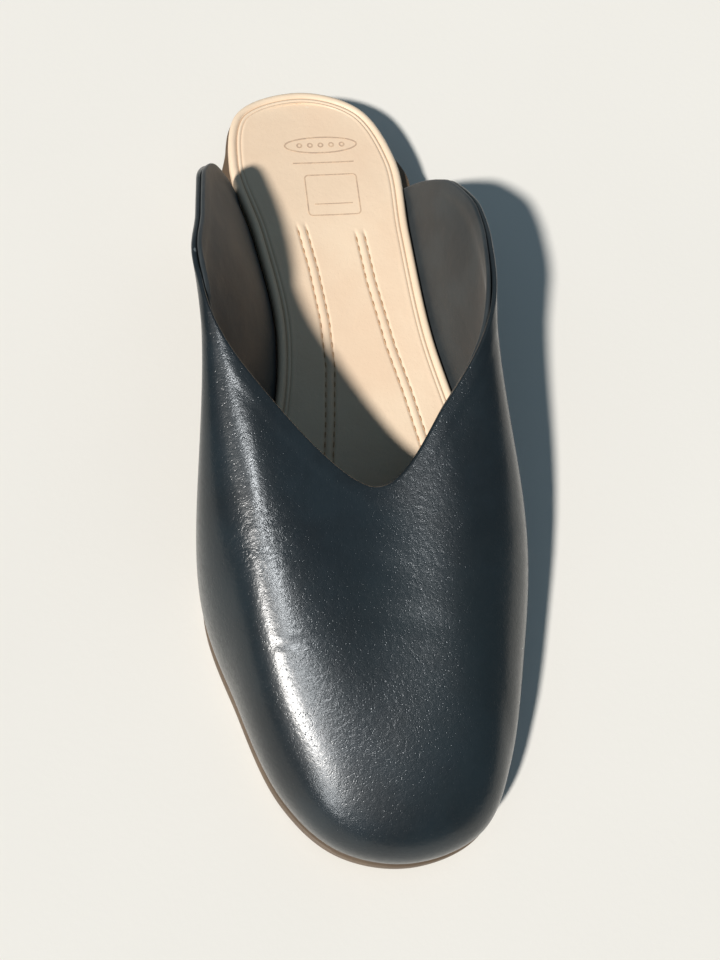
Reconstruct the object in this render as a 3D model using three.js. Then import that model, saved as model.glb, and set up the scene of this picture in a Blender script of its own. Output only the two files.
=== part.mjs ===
// Left-foot slip-on mule: a V-cut leather upper open behind, on a low-heeled flat sole.
// Millimetres, +Z up. Toe towards -Y, heel towards +Y, inner (medial) side towards -X.
import * as THREE from "three";
import { mergeVertices } from "three/addons/utils/BufferGeometryUtils.js";

// ---------------------------------------------------------------- driving dimensions
const GAP = 0.3; // clearance between pieces that meet
const OUTSOLE_THICKNESS = 4;
const INSOLE_THICKNESS = 4.5;
const HEEL_HEIGHT = 12; // floor to the outsole at the back of the heel
const HEEL_TIP_THICKNESS = 3;
const TOE_SPRING = 4.5; // rise of the outsole at the toe
const TOE_SPRING_START = -78; // the flat tread of the forefoot lies between these two
const TREAD_END = -38;
const SEAT_START = 85; // behind this the seat of the heel is level
const TOE_TIP = -123;
const BREAST = 50; // front face of the heel
const BREAST_HOLLOW = 4; // how far that face curves back at its middle
const HEEL_TAPER = 1.2; // the heel block is this much smaller at the floor, all round
const HEEL_INSET = 0.5; // the heel block is set in this far under the outsole
const HEEL_POINTS = 36;
const BREAST_POINTS = 11;

const UPPER_WALL = 2.2; // leather and lining together
const WELT_STEP = 1.1; // how far the outsole stands out past the upper
const SOLE_LEDGE = GAP + UPPER_WALL + WELT_STEP; // outsole past insole where the upper is lasted
const HEEL_LEDGE = 0.7; // outsole past insole at the bare heel
const LEDGE_NARROWS = 88; // the ledge runs out between these two
const LEDGE_ENDS = 104;

const QUARTER_END = 86; // rear edge of the upper at the sole
const CORNER_RADIUS = 11; // rounding of the top rear corner of each quarter

const OUTLINE_POINTS = 80;
const MIDDLE_LINE_INSET = 18; // the middle line of a flat piece stops this far short of its ends
const COLUMNS = 72; // columns of the upper between its two rounded corners
const CORNER_COLUMNS = 4;
const ROWS = 14; // rows of the upper from sole to topline

// Bottom of the last, which is the edge of the insole, anticlockwise from the toe.
const LAST_OUTLINE = [
  { at: "toe", x: 2.8, y: -119.4 },
  { at: "outer toe cap", x: 20.4, y: -114.2 },
  { at: "outer toe corner", x: 28.4, y: -101 },
  { at: "little toe", x: 35.4, y: -76 },
  { at: "outer ball", x: 41.5, y: -42 },
  { at: "outer shank", x: 37.2, y: 0 },
  { at: "outer waist", x: 30, y: 35 },
  { at: "outer seat front", x: 27.2, y: 68 },
  { at: "outer heel", x: 26.1, y: 95 },
  { at: "outer heel corner", x: 16.8, y: 114.6 },
  { at: "heel back", x: -2, y: 121.5 },
  { at: "inner heel corner", x: -22.6, y: 114.6 },
  { at: "inner heel", x: -26.9, y: 95 },
  { at: "inner seat front", x: -21.4, y: 68 },
  { at: "inner waist", x: -17.6, y: 36 },
  { at: "inner shank", x: -23.2, y: 3 },
  { at: "inner ball", x: -42.6, y: -42 },
  { at: "big toe", x: -35.6, y: -76 },
  { at: "inner toe corner", x: -26.6, y: -101 },
  { at: "inner toe cap", x: -14.6, y: -114.5 },
];

// Edge of the foot opening. t runs along the lasted edge, from the inner rear (0)
// over the toe to the outer rear (1).
const TOPLINE = [
  { at: "inner rear", t: 0, x: -39.2, y: 79, z: 47.6 },
  { at: "inner quarter", t: 0.12, x: -42, y: 53, z: 59.8 },
  { at: "inner instep", t: 0.245, x: -43.9, y: 32, z: 67 },
  { at: "inner throat", t: 0.39, x: -32, y: 3, z: 61 },
  { at: "throat point", t: 0.5, x: -0.3, y: -27, z: 46.5 },
  { at: "outer throat", t: 0.61, x: 22.1, y: -5.6, z: 51 },
  { at: "outer instep", t: 0.755, x: 38.7, y: 20, z: 55.5 },
  { at: "outer quarter", t: 0.88, x: 43.2, y: 45, z: 52.3 },
  { at: "outer rear", t: 1, x: 41.4, y: 67.2, z: 48 },
];

// How the wall rises off the sole and rolls over to the topline, by the same t.
// wall: height of the steep part. swell: how far it leans out past the sole.
// reach and fall: the run back from the topline and the drop along it.
// lean: how much of the slant of the rear edge the steep part already takes up.
const WALL_FORM = [
  { at: "inner rear", t: 0, wall: 16.5, swell: 5, reach: 0.4, fall: 10.5, lean: 0.33 },
  { at: "inner waist", t: 0.17, wall: 24.5, swell: 6, reach: 0.45, fall: 17, lean: 0.2 },
  { at: "inner ball", t: 0.33, wall: 27.4, swell: 7.8, reach: 0.55, fall: 12, lean: 0 },
  { at: "big toe", t: 0.42, wall: 25.8, swell: 7.8, reach: 0.55, fall: 9, lean: 0 },
  { at: "toe", t: 0.5, wall: 24, swell: 7.4, reach: 0.55, fall: 9.5, lean: 0 },
  { at: "little toe", t: 0.58, wall: 24.2, swell: 7.8, reach: 0.55, fall: 9.5, lean: 0 },
  { at: "outer ball", t: 0.67, wall: 26.2, swell: 7.8, reach: 0.55, fall: 12, lean: 0 },
  { at: "outer waist", t: 0.83, wall: 22.5, swell: 6, reach: 0.45, fall: 14.5, lean: 0.2 },
  { at: "outer rear", t: 1, wall: 16.5, swell: 5, reach: 0.4, fall: 10.5, lean: 0.33 },
];

// ---------------------------------------------------------------- curves
const smoothstep = (from, to, v) => THREE.MathUtils.smoothstep(v, from, to);

// Smooth value of one column of a table at t.
function valueAt(rows, key, t) {
  const last = rows.length - 1;
  const next = rows.findIndex((row, i) => i > 0 && t <= row.t);
  const b = next < 0 ? last : next;
  const a = b - 1;
  const slope = (i) => {
    const low = rows[Math.max(i - 1, 0)];
    const high = rows[Math.min(i + 1, last)];
    return (high[key] - low[key]) / (high.t - low.t);
  };
  const span = rows[b].t - rows[a].t;
  const u = (t - rows[a].t) / span;
  const u2 = u * u;
  const u3 = u2 * u;
  return (
    (2 * u3 - 3 * u2 + 1) * rows[a][key] +
    (u3 - 2 * u2 + u) * span * slope(a) +
    (3 * u2 - 2 * u3) * rows[b][key] +
    (u3 - u2) * span * slope(b)
  );
}

// Underside of the outsole: toe spring, flat tread, then the rise of the shank to the heel seat.
function underside(y) {
  const spring = Math.max(0, TOE_SPRING_START - y) / (TOE_SPRING_START - TOE_TIP);
  return TOE_SPRING * spring ** 2 + HEEL_HEIGHT * smoothstep(TREAD_END, SEAT_START, y);
}
const outsoleTop = (y) => underside(y) + OUTSOLE_THICKNESS;
const insoleBottom = (y) => outsoleTop(y) + GAP;
const insoleTop = (y) => insoleBottom(y) + INSOLE_THICKNESS;

// Unit outward normals of an anticlockwise loop of plan points.
function outwardNormals(loop) {
  return loop.map((_, i) => {
    const before = loop[(i + loop.length - 1) % loop.length];
    const after = loop[(i + 1) % loop.length];
    return new THREE.Vector2(after.y - before.y, before.x - after.x).normalize();
  });
}

// Moves each point of a loop outwards by distance(y).
function grown(loop, distance) {
  const normals = outwardNormals(loop);
  return loop.map((p, i) => p.clone().addScaledVector(normals[i], distance(p.y)));
}

const lastCurve = new THREE.CatmullRomCurve3(
  LAST_OUTLINE.map((row) => new THREE.Vector3(row.x, row.y, 0)),
  true,
);
// The loop starts at the toe tip, and point i lies across from point count - i.
function lastLoop(count) {
  const half = count / 2;
  const side = (i, n) => lastCurve.getPoint((i / n) * 0.5);
  return Array.from({ length: count }, (_, i) => {
    const p = i <= half ? side(i, half) : lastCurve.getPoint(0.5 + ((i - half) / half) * 0.5);
    return new THREE.Vector2(p.x, p.y);
  });
}
const soleLedge = (y) =>
  THREE.MathUtils.lerp(SOLE_LEDGE, HEEL_LEDGE, smoothstep(LEDGE_NARROWS, LEDGE_ENDS, y));

// ---------------------------------------------------------------- solids
// A closed geometry from a triangle soup of THREE.Vector3, with shared vertices merged.
function solidFrom(triangles) {
  const soup = new THREE.BufferGeometry().setFromPoints(triangles.flat());
  const merged = mergeVertices(soup, 1e-4);
  const index = merged.index.array;
  const kept = [];
  for (let i = 0; i < index.length; i += 3) {
    const [a, b, c] = index.slice(i, i + 3);
    if (a !== b && b !== c && c !== a) kept.push(a, b, c);
  }
  merged.setIndex(kept);
  merged.computeVertexNormals();
  return merged;
}

// Two triangles of the quad a, b, c, d, seen anticlockwise from outside.
const quad = (a, b, c, d) => [
  [a, b, c],
  [a, c, d],
];

// A flat-bodied piece over a plan loop whose points i and count - i lie across from each other.
// Each ring is the loop moved in by `inset`, drawn towards the middle line by the share `toward`,
// at the height z(y). Rings go from the middle below, round the edge, to the middle above.
function slab(loop, rings) {
  const count = loop.length;
  const box = new THREE.Box2().setFromPoints(loop);
  const middleX = (box.min.x + box.max.x) / 2;
  const middle = (p, across) => {
    const y = (p.y + across.y) / 2;
    return new THREE.Vector2(
      middleX,
      THREE.MathUtils.clamp(y, box.min.y + MIDDLE_LINE_INSET, box.max.y - MIDDLE_LINE_INSET),
    );
  };
  const levels = rings.map(({ inset = 0, toward = 0, z }) => {
    const ring = grown(loop, () => -inset);
    return ring.map((p, i) => {
      const q = p.clone().lerp(middle(p, ring[(count - i) % count]), toward);
      return new THREE.Vector3(q.x, q.y, z(q.y));
    });
  });
  const triangles = [];
  for (let k = 0; k + 1 < levels.length; k++) {
    for (let i = 0; i < count; i++) {
      const j = (i + 1) % count;
      triangles.push(...quad(levels[k][i], levels[k][j], levels[k + 1][j], levels[k + 1][i]));
    }
  }
  return solidFrom(triangles);
}

function outsole() {
  const loop = grown(lastLoop(OUTLINE_POINTS), soleLedge);
  const edge = 0.8; // rounding of the lower edge
  return slab(loop, [
    { inset: edge, toward: 1, z: underside },
    { inset: edge, z: underside },
    { z: (y) => underside(y) + edge },
    { z: outsoleTop },
    { toward: 1, z: outsoleTop },
  ]);
}

function insole() {
  const round = 1.3; // rolled edge of the wrapped footbed
  const crown = (rise) => (y) => insoleTop(y) - rise;
  return slab(lastLoop(OUTLINE_POINTS), [
    { inset: 0.4, toward: 1, z: insoleBottom },
    { inset: 0.4, z: insoleBottom },
    { z: (y) => insoleBottom(y) + round },
    { z: crown(round) },
    { inset: round * 0.3, z: crown(round * 0.3) },
    { inset: round, z: crown(0) },
    { inset: round, toward: 0.5, z: crown(0.5) },
    { inset: round, toward: 1, z: crown(0.7) },
  ]);
}

// Plan of the heel: the back of the outline, closed by the hollow breast. It starts at the middle
// of the breast, so that point i lies across from point count - i.
function heelLoop(shrink) {
  const fine = lastLoop(OUTLINE_POINTS * 12);
  const back = grown(fine, (y) => soleLedge(y) - HEEL_INSET - shrink);
  const seat = back.filter((p) => p.y > BREAST + shrink).map((p) => new THREE.Vector3(p.x, p.y, 0));
  const [outer, inner] = [seat[0], seat[seat.length - 1]];
  const breast = Array.from({ length: BREAST_POINTS }, (_, i) => {
    const u = (i + 1) / (BREAST_POINTS + 1);
    const p = inner.clone().lerp(outer, u);
    p.y += BREAST_HOLLOW * 4 * u * (1 - u);
    return p;
  });
  const half = (BREAST_POINTS - 1) / 2;
  const around = new THREE.CatmullRomCurve3(seat).getSpacedPoints(HEEL_POINTS);
  const loop = [...breast.slice(half), ...around, ...breast.slice(0, half)];
  return loop.map((p) => new THREE.Vector2(p.x, p.y));
}

function heel() {
  const loop = heelLoop(0);
  return slab(loop, [
    { inset: HEEL_TAPER, toward: 1, z: () => HEEL_TIP_THICKNESS + GAP },
    { inset: HEEL_TAPER, z: () => HEEL_TIP_THICKNESS + GAP },
    { z: (y) => underside(y) - GAP },
    { toward: 0.5, z: (y) => underside(y) - GAP },
    { toward: 1, z: (y) => underside(y) - GAP },
  ]);
}

function heelTip() {
  const edge = 0.5;
  const loop = heelLoop(HEEL_TAPER);
  return slab(loop, [
    { inset: edge, toward: 1, z: () => 0 },
    { inset: edge, z: () => 0 },
    { z: () => edge },
    { z: () => HEEL_TIP_THICKNESS },
    { toward: 1, z: () => HEEL_TIP_THICKNESS },
  ]);
}

// ---------------------------------------------------------------- upper
// Lasted edge of the upper, from the inner rear round the toe to the outer rear, by length.
function lastedEdge() {
  const loop = grown(lastLoop(OUTLINE_POINTS * 6), (y) => soleLedge(y) - WELT_STEP);
  const half = loop.length / 2;
  const fromHeel = [...loop.slice(half), ...loop.slice(0, half)];
  const lasted = fromHeel.filter((p) => p.y < QUARTER_END);
  return new THREE.CatmullRomCurve3(lasted.map((p) => new THREE.Vector3(p.x, p.y, 0)));
}
const lasted = lastedEdge();
lasted.arcLengthDivisions = 1200;

const toplinePoint = (t) =>
  new THREE.Vector3(valueAt(TOPLINE, "x", t), valueAt(TOPLINE, "y", t), valueAt(TOPLINE, "z", t));

// Distances along the t scale over which the rear corners of the quarters round off.
const cornerSpan = (t0, t1) =>
  (CORNER_RADIUS * Math.abs(t1 - t0)) / toplinePoint(t0).distanceTo(toplinePoint(t1));
const INNER_CORNER = cornerSpan(0, 0.04);
const OUTER_CORNER = cornerSpan(1, 0.96);

// Length cut off a column by the rounding of the nearer rear corner.
function cornerCut(t) {
  const u = Math.min(1, t / INNER_CORNER, (1 - t) / OUTER_CORNER);
  return CORNER_RADIUS * (1 - Math.sqrt(1 - (1 - u) ** 2));
}

// One column of the outer face at t: a cubic from the lasted edge up the wall and over to the topline.
function columnCurve(t) {
  const foot = lasted.getPointAt(t);
  const ahead = lasted.getTangentAt(t);
  const out = new THREE.Vector3(ahead.y, -ahead.x, 0);
  foot.z = outsoleTop(foot.y) + GAP;
  const top = toplinePoint(t);
  const plan = new THREE.Vector3(top.x - foot.x, top.y - foot.y, 0);
  const form = (key) => valueAt(WALL_FORM, key, t);
  const slant = plan.clone().addScaledVector(out, -plan.dot(out));
  const shoulder = foot.clone().addScaledVector(out, form("swell"));
  shoulder.addScaledVector(slant, form("lean"));
  shoulder.z += form("wall");
  const roll = top.clone().addScaledVector(plan, -form("reach"));
  roll.z -= form("fall");
  return new THREE.CubicBezierCurve3(foot, shoulder, roll, top);
}

// Its points, evenly spaced from the sole to the topline or to the rounded corner.
function column(t) {
  const curve = columnCurve(t);
  const kept = 1 - cornerCut(t) / curve.getLength();
  return Array.from({ length: ROWS + 1 }, (_, k) => curve.getPointAt((kept * k) / ROWS));
}

// Columns are closer together round the two rear corners.
function columnStations() {
  const round = (i) => 1 - Math.cos((i / CORNER_COLUMNS) * (Math.PI / 2));
  const corner = Array.from({ length: CORNER_COLUMNS }, (_, i) => round(i));
  const between = Array.from({ length: COLUMNS + 1 }, (_, i) =>
    THREE.MathUtils.lerp(INNER_CORNER, 1 - OUTER_CORNER, i / COLUMNS),
  );
  return [
    ...corner.map((u) => u * INNER_CORNER),
    ...between,
    ...corner.map((u) => 1 - u * OUTER_CORNER).reverse(),
  ];
}

function upper() {
  const outer = columnStations().map(column);
  const last = outer.length - 1;
  const inner = outer.map((column, i) =>
    column.map((p, k) => {
      const along = outer[Math.min(i + 1, last)][k].clone().sub(outer[Math.max(i - 1, 0)][k]);
      const up = column[Math.min(k + 1, ROWS)].clone().sub(column[Math.max(k - 1, 0)]);
      const normal = along.cross(up);
      if (k === 0) normal.z = 0; // the lasted edge stays level
      return p.clone().addScaledVector(normal.normalize(), -UPPER_WALL);
    }),
  );
  const triangles = [];
  for (let i = 0; i < last; i++) {
    for (let k = 0; k < ROWS; k++) {
      const [a, b, c, d] = [[i, k], [i + 1, k], [i + 1, k + 1], [i, k + 1]];
      const face = (grid, corners) => quad(...corners.map(([m, n]) => grid[m][n]));
      triangles.push(...face(outer, [a, b, c, d]), ...face(inner, [d, c, b, a]));
    }
    triangles.push(...quad(outer[i + 1][0], outer[i][0], inner[i][0], inner[i + 1][0]));
    triangles.push(...quad(outer[i][ROWS], outer[i + 1][ROWS], inner[i + 1][ROWS], inner[i][ROWS]));
  }
  for (let k = 0; k < ROWS; k++) {
    triangles.push(...quad(outer[0][k], outer[0][k + 1], inner[0][k + 1], inner[0][k]));
    triangles.push(...quad(outer[last][k + 1], outer[last][k], inner[last][k], inner[last][k + 1]));
  }
  return solidFrom(triangles);
}

// ---------------------------------------------------------------- assembly
const PIECES = [
  { name: "outsole", shape: outsole, color: 0x665647, roughness: 0.6 },
  { name: "heel", shape: heel, color: 0x191817, roughness: 0.5 },
  { name: "heel_tip", shape: heelTip, color: 0x121212, roughness: 0.8 },
  { name: "insole", shape: insole, color: 0xe3c7a9, roughness: 0.6 },
  { name: "upper", shape: upper, color: 0x1c252a, roughness: 0.35 },
];

const shoe = new THREE.Group();
for (const { name, shape, color, roughness } of PIECES) {
  const material = new THREE.MeshStandardMaterial({ color, roughness, metalness: 0 });
  const piece = new THREE.Mesh(shape(), material);
  piece.name = name;
  shoe.add(piece);
}
// The origin is the middle of the footprint's box, at the floor.
const box = new THREE.Box3().setFromObject(shoe);
shoe.position.set(-(box.min.x + box.max.x) / 2, -(box.min.y + box.max.y) / 2, -box.min.z);

export default shoe;
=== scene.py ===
# Left-foot slip-on mule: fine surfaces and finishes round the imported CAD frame.
# Shapes are worked out in millimetres in the last's own frame (toe towards -Y, inner side
# towards -X, floor at z = 0) and written to Blender in metres, in the row frame.
import math

import bmesh
import bpy
import numpy as np
from mathutils import Matrix, Quaternion, Vector


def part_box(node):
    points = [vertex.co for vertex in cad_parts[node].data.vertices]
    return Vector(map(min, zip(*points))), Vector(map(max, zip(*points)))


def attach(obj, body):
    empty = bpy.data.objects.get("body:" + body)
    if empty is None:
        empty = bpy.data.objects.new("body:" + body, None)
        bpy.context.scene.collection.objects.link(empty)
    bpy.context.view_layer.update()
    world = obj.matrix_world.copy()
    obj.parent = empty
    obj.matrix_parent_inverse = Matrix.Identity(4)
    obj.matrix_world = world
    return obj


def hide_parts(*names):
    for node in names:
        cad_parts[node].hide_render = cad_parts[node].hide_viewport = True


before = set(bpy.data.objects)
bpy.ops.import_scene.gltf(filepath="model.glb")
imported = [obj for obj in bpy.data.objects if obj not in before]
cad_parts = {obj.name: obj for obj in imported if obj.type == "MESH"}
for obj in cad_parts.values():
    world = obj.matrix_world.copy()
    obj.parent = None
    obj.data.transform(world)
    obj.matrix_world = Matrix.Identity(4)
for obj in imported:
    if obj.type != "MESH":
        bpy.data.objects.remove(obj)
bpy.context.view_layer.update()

MM = 0.001

# ---------------------------------------------------------------- the shoe's own sizes, in mm
GAP = 0.3
OUTSOLE_THICKNESS = 4.0
INSOLE_THICKNESS = 4.5
HEEL_HEIGHT = 12.0
HEEL_TIP_THICKNESS = 3.0
TOE_SPRING = 4.5
TOE_SPRING_START = -78.0
TREAD_END = -38.0
SEAT_START = 85.0
TOE_TIP = -123.0
BREAST = 50.0
BREAST_HOLLOW = 4.0
HEEL_TAPER = 1.2
HEEL_INSET = 0.5
UPPER_WALL = 2.2
WELT_STEP = 1.1
SOLE_LEDGE = GAP + UPPER_WALL + WELT_STEP
HEEL_LEDGE = 0.7
LEDGE_NARROWS = 88.0
LEDGE_ENDS = 104.0
QUARTER_END = 86.0
CORNER_RADIUS = 11.0

# Bottom of the last, anticlockwise from the toe: x, y.
LAST_OUTLINE = [
    (2.8, -119.4),  # toe
    (20.4, -114.2),
    (28.4, -101.0),
    (35.4, -76.0),  # little toe
    (41.5, -42.0),  # outer ball
    (37.2, 0.0),
    (30.0, 35.0),  # outer waist
    (27.2, 68.0),
    (26.1, 95.0),  # outer heel
    (16.8, 114.6),
    (-2.0, 121.5),  # heel back
    (-22.6, 114.6),
    (-26.9, 95.0),  # inner heel
    (-21.4, 68.0),
    (-17.6, 36.0),  # inner waist
    (-23.2, 3.0),
    (-42.6, -42.0),  # inner ball
    (-35.6, -76.0),  # big toe
    (-26.6, -101.0),
    (-14.6, -114.5),
]

# Edge of the foot opening from the inner rear to the outer rear: t, x, y, z.
TOPLINE = [
    (0.0, -39.2, 79.0, 47.6),
    (0.12, -42.0, 53.0, 59.8),
    (0.245, -43.9, 32.0, 67.0),
    (0.39, -32.0, 3.0, 61.0),
    (0.5, -0.3, -27.0, 46.5),  # throat
    (0.61, 22.1, -5.6, 51.0),
    (0.755, 38.7, 20.0, 55.5),
    (0.88, 43.2, 45.0, 52.3),
    (1.0, 41.4, 67.2, 48.0),
]

# How the wall rises and rolls over: t, wall, swell, reach, fall, lean.
WALL_FORM = [
    (0.0, 16.5, 5.0, 0.4, 10.5, 0.33),
    (0.17, 24.5, 6.0, 0.45, 17.0, 0.2),
    (0.33, 27.4, 7.8, 0.55, 12.0, 0.0),
    (0.42, 25.8, 7.8, 0.55, 9.0, 0.0),
    (0.5, 24.0, 7.4, 0.55, 9.5, 0.0),
    (0.58, 24.2, 7.8, 0.55, 9.5, 0.0),
    (0.67, 26.2, 7.8, 0.55, 12.0, 0.0),
    (0.83, 22.5, 6.0, 0.45, 14.5, 0.2),
    (1.0, 16.5, 5.0, 0.4, 10.5, 0.33),
]

# Upper: the outer leather and the lining, with a fine groove between them at the edge.
LEATHER = 1.3
LEATHER_EDGE_SWELL = 0.18  # the turned edge is doubled
LINING_FACE = 1.62  # depth of the lining's hidden side below the outer face
LINING = 0.78
LINING_EDGE_SWELL = 0.55
EDGE_BAND = 6.0  # width over which the edges thicken
LEATHER_EDGE_FULL = 3.2  # the leather's edge has its full thickness up to here
LINING_EDGE_FULL = 2.4
FACE_STEPS = 160  # of the curve from the sole to the free edge
RIM_STRIDE = 6  # points of the free edge passed over in the first, rough search

# Footbed, by distance in from its edge.
RIM_ROLL = 2.7
RIM_RIDGE = 3.35
FIELD = 4.4
DISH = 0.6

# Stitched channels of the footbed: x, y of the line down each middle, from the heel forward.
CHANNELS = {
    "inner": [(-6.9, 73.0), (-4.4, 57.0), (-2.6, 40.0), (-2.4, 25.0), (-4.2, 8.0), (-7.0, -12.0),
              (-9.0, -34.0)],
    "outer": [(11.2, 70.0), (13.1, 52.0), (16.8, 31.0), (20.4, 16.0), (23.6, 0.0), (25.6, -16.0),
              (26.6, -34.0)],
}
CHANNEL_HALF = 1.35  # from the middle ridge to each groove
CHANNEL_BLOCK = 3.4  # half the width that gets the fine mesh
CHANNEL_FRONT = -30.0
CHANNEL_FRONT_FADE = 3.0
CHANNEL_HEEL_FADE = 2.5
GROOVE_DEPTH = 0.42
GROOVE_WIDTH = 0.38
RIDGE_HEIGHT = 0.16
RIDGE_WIDTH = 0.75
STITCH_PITCH = 3.1
STITCH_LENGTH = 2.1
STITCH_RADIUS = 0.24
STITCH_RISE = 0.12
STITCH_SIDES = 8

# Along a stitch: share of its length, share of its radius, rise in radii.
STITCH_PROFILE = [
    (0.0, 0.25, -0.9),
    (0.1, 0.75, -0.35),
    (0.3, 1.0, 0.0),
    (0.7, 1.0, 0.0),
    (0.9, 0.75, -0.35),
    (1.0, 0.25, -0.9),
]

# Creases of the leather: the ends in plan, the depth, the width, and the rise of the roll on each side.
CREASES = [
    # x0, y0, x1, y1, depth, width, rise
    (-35.0, -65.6, -17.0, -68.6, 0.20, 0.6, 0.07),
    (-33.0, -67.6, -20.0, -69.8, 0.13, 0.5, 0.05),
    (-42.0, -33.0, -24.0, -38.0, 0.06, 2.0, 0.03),
    (-41.0, -39.5, -21.0, -44.5, 0.08, 1.8, 0.04),
    (-20.0, -43.0, 10.0, -50.0, 0.10, 2.8, 0.05),
    (44.0, -36.0, 22.0, -45.0, 0.16, 2.4, 0.07),
    (44.0, -46.0, 27.0, -52.0, 0.12, 2.0, 0.05),
    (-8.0, -62.0, 22.0, -66.0, 0.08, 2.6, 0.04),
]
CREASE_BOW = 0.6  # how far a crease wanders off its straight line
CREASE_WAVE = 7.0  # radians of that wave from end to end
ROLL_PLACE = 2.2  # of the roll beside a crease, in widths of the crease
ROLL_WIDTH = 1.3

# Stamp on the heel of the footbed: an oval with dots, a rule, and a frame with a rule in it.
STAMP_X = 2.6
OVAL_Y = 101.0
OVAL_HALF = (11.5, 2.9)
DOT_PITCH = 3.4
DOT_RADIUS = 0.7
RULE = (-7.0, 12.5, 94.4)  # x from, x to, y
FRAME_X = (-2.6, 11.4)  # middles of its rounded corners
FRAME_Y = (76.4, 88.6)
FRAME_CORNER = 1.2
FRAME_RULE = (-1.6, 10.4, 79.2)
PRINT_RISE = 0.05
PRINT_DEPTH = 0.25

# Outsole, up its side: inset, height over the underside.
OUTSOLE_PROFILE = [
    (9.0, 0.0),
    (6.6, 0.0),  # a fine perimeter channel underneath
    (6.3, 0.22),
    (6.0, 0.3),
    (5.7, 0.22),
    (5.4, 0.0),
    (1.4, 0.0),  # the rounded lower edge
    (0.9, 0.08),
    (0.42, 0.3),
    (0.12, 0.65),
    (0.0, 1.2),
    (0.0, 2.2),
    (0.05, 2.88),  # a fine line below the top
    (0.3, 3.04),
    (0.32, 3.16),
    (0.08, 3.32),
    (0.05, 3.6),
    (0.18, 3.88),
    (0.5, OUTSOLE_THICKNESS),
    (9.0, OUTSOLE_THICKNESS),
]

# Heel cap, up its side: inset, height.
CAP_PROFILE = [
    (2.6, 0.0),
    (0.7, 0.0),
    (0.3, 0.1),
    (0.08, 0.35),
    (0.0, 0.7),
    (0.0, 2.5),
    (0.07, 2.85),
    (0.25, HEEL_TIP_THICKNESS),
    (2.6, HEEL_TIP_THICKNESS),
]

STACK_JOINTS = (1 / 3, 2 / 3)  # of the heel's height
JOINT_GROOVE = [(-0.06, 0.0), (-0.025, 0.04), (0.0, 0.16), (0.025, 0.04), (0.06, 0.0)]
STACK_INSET = 2.0  # of the flat faces' outer ring
MIDDLE_LINE_ENDS = 18.0  # from each end of a sole piece to the end of its middle line
HEEL_SIDE_STEPS = 220
BREAST_POINTS = 41

# ---------------------------------------------------------------- curves


def smooth(value, low, high):
    u = np.clip((value - low) / (high - low), 0.0, 1.0)
    return u * u * (3 - 2 * u)


def table_values(table, t):
    """The table's other columns at each t, on smooth curves through the rows."""
    rows = np.array(table)
    at, values = rows[:, 0], rows[:, 1:]
    last = len(at) - 1
    low = np.maximum(np.arange(last + 1) - 1, 0)
    high = np.minimum(np.arange(last + 1) + 1, last)
    slope = (values[high] - values[low]) / (at[high] - at[low])[:, None]
    b = np.clip(np.searchsorted(at, t, side="left"), 1, last)
    a = b - 1
    span = (at[b] - at[a])[:, None]
    u = ((t - at[a]) / (at[b] - at[a]))[:, None]
    u2, u3 = u * u, u * u * u
    return (
        (2 * u3 - 3 * u2 + 1) * values[a]
        + (u3 - 2 * u2 + u) * span * slope[a]
        + (3 * u2 - 2 * u3) * values[b]
        + (u3 - u2) * span * slope[b]
    )


def underside(y):
    spring = np.maximum(0.0, TOE_SPRING_START - y) / (TOE_SPRING_START - TOE_TIP)
    return TOE_SPRING * spring**2 + HEEL_HEIGHT * smooth(y, TREAD_END, SEAT_START)


def outsole_top(y):
    return underside(y) + OUTSOLE_THICKNESS


def insole_bottom(y):
    return outsole_top(y) + GAP


def insole_top(y):
    return insole_bottom(y) + INSOLE_THICKNESS


def last_loop(count):
    """The outline as a closed centripetal curve. Point i lies across from point count - i."""
    points = np.array(LAST_OUTLINE)
    rows = len(points)
    place = np.arange(count) / count * rows
    i = np.floor(place).astype(int)
    w = (place - i)[:, None]
    p0, p1, p2, p3 = (points[(i + k) % rows] for k in (-1, 0, 1, 2))
    d0, d1, d2 = (
        (((a - b) ** 2).sum(1) ** 0.25)[:, None] for a, b in ((p0, p1), (p1, p2), (p2, p3))
    )
    t1 = ((p1 - p0) / d0 - (p2 - p0) / (d0 + d1) + (p2 - p1) / d1) * d1
    t2 = ((p2 - p1) / d1 - (p3 - p1) / (d1 + d2) + (p3 - p2) / d2) * d1
    return (
        p1
        + t1 * w
        + (3 * p2 - 3 * p1 - 2 * t1 - t2) * w**2
        + (2 * p1 - 2 * p2 + t1 + t2) * w**3
    )


def out_normals(loop):
    d = np.roll(loop, -1, 0) - np.roll(loop, 1, 0)
    n = np.stack([d[:, 1], -d[:, 0]], 1)
    return n / np.linalg.norm(n, axis=1)[:, None]


def grown(loop, distance):
    return loop + out_normals(loop) * np.broadcast_to(distance, len(loop))[:, None]


def sole_ledge(y):
    return SOLE_LEDGE + (HEEL_LEDGE - SOLE_LEDGE) * smooth(y, LEDGE_NARROWS, LEDGE_ENDS)


def unit(v):
    return v / np.maximum(np.linalg.norm(v, axis=-1, keepdims=True), 1e-12)


# ---------------------------------------------------------------- meshes

SOLE_LOOP = grown(last_loop(480), sole_ledge(last_loop(480)[:, 1]))
sole_low, sole_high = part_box("outsole")
# from the last's own frame to the row frame, in mm
TO_ROW = np.array(
    [
        (sole_low.x + sole_high.x) / 2 / MM - (SOLE_LOOP[:, 0].min() + SOLE_LOOP[:, 0].max()) / 2,
        (sole_low.y + sole_high.y) / 2 / MM - (SOLE_LOOP[:, 1].min() + SOLE_LOOP[:, 1].max()) / 2,
        0.0,
    ]
)


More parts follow.
